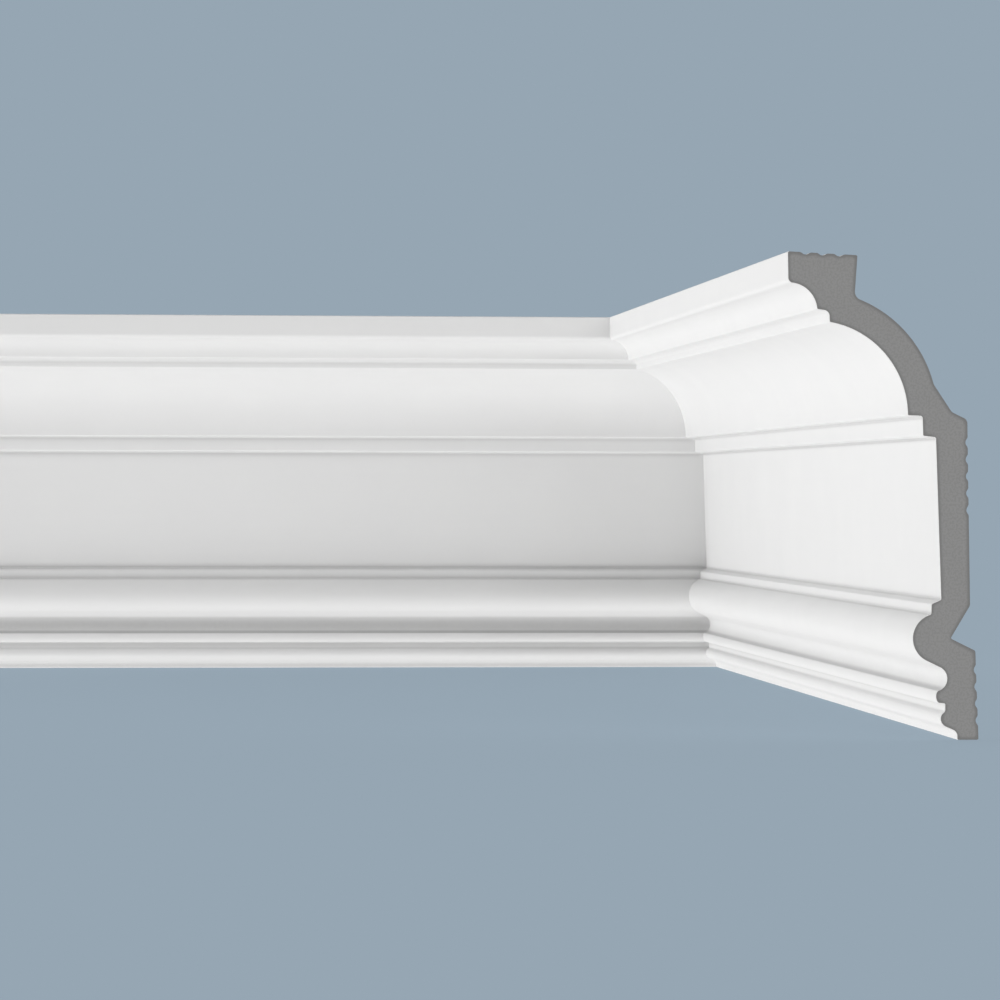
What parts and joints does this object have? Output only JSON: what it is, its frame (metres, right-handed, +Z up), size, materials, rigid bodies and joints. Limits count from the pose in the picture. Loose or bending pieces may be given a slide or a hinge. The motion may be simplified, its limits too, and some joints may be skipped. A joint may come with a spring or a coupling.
{
  "type": "cornice moulding length with mitred inside corner",
  "caption": "Cornice moulding run mitred to a return in an inside corner, with a lip and coves above a plain frieze, and a torus, bead and stepped foot below it.",
  "frame": {"origin": "under the middle of the outer box, on the plane that the bottom edge stands on", "axes": "+Z up the wall; the back run lies along the wall at +Y, the side return along the wall at +X, and the moulded faces look towards -Y and -X"},
  "size_m": [0.37, 0.62, 0.17],
  "materials": {
    "white_primer": "matt white primer with a faint satin sheen; the square-cut ends show the bare grey body"
  },
  "bodies": {
    "root": {"back_run": "white_primer", "side_return": "white_primer"}
  },
  "joints": []
}
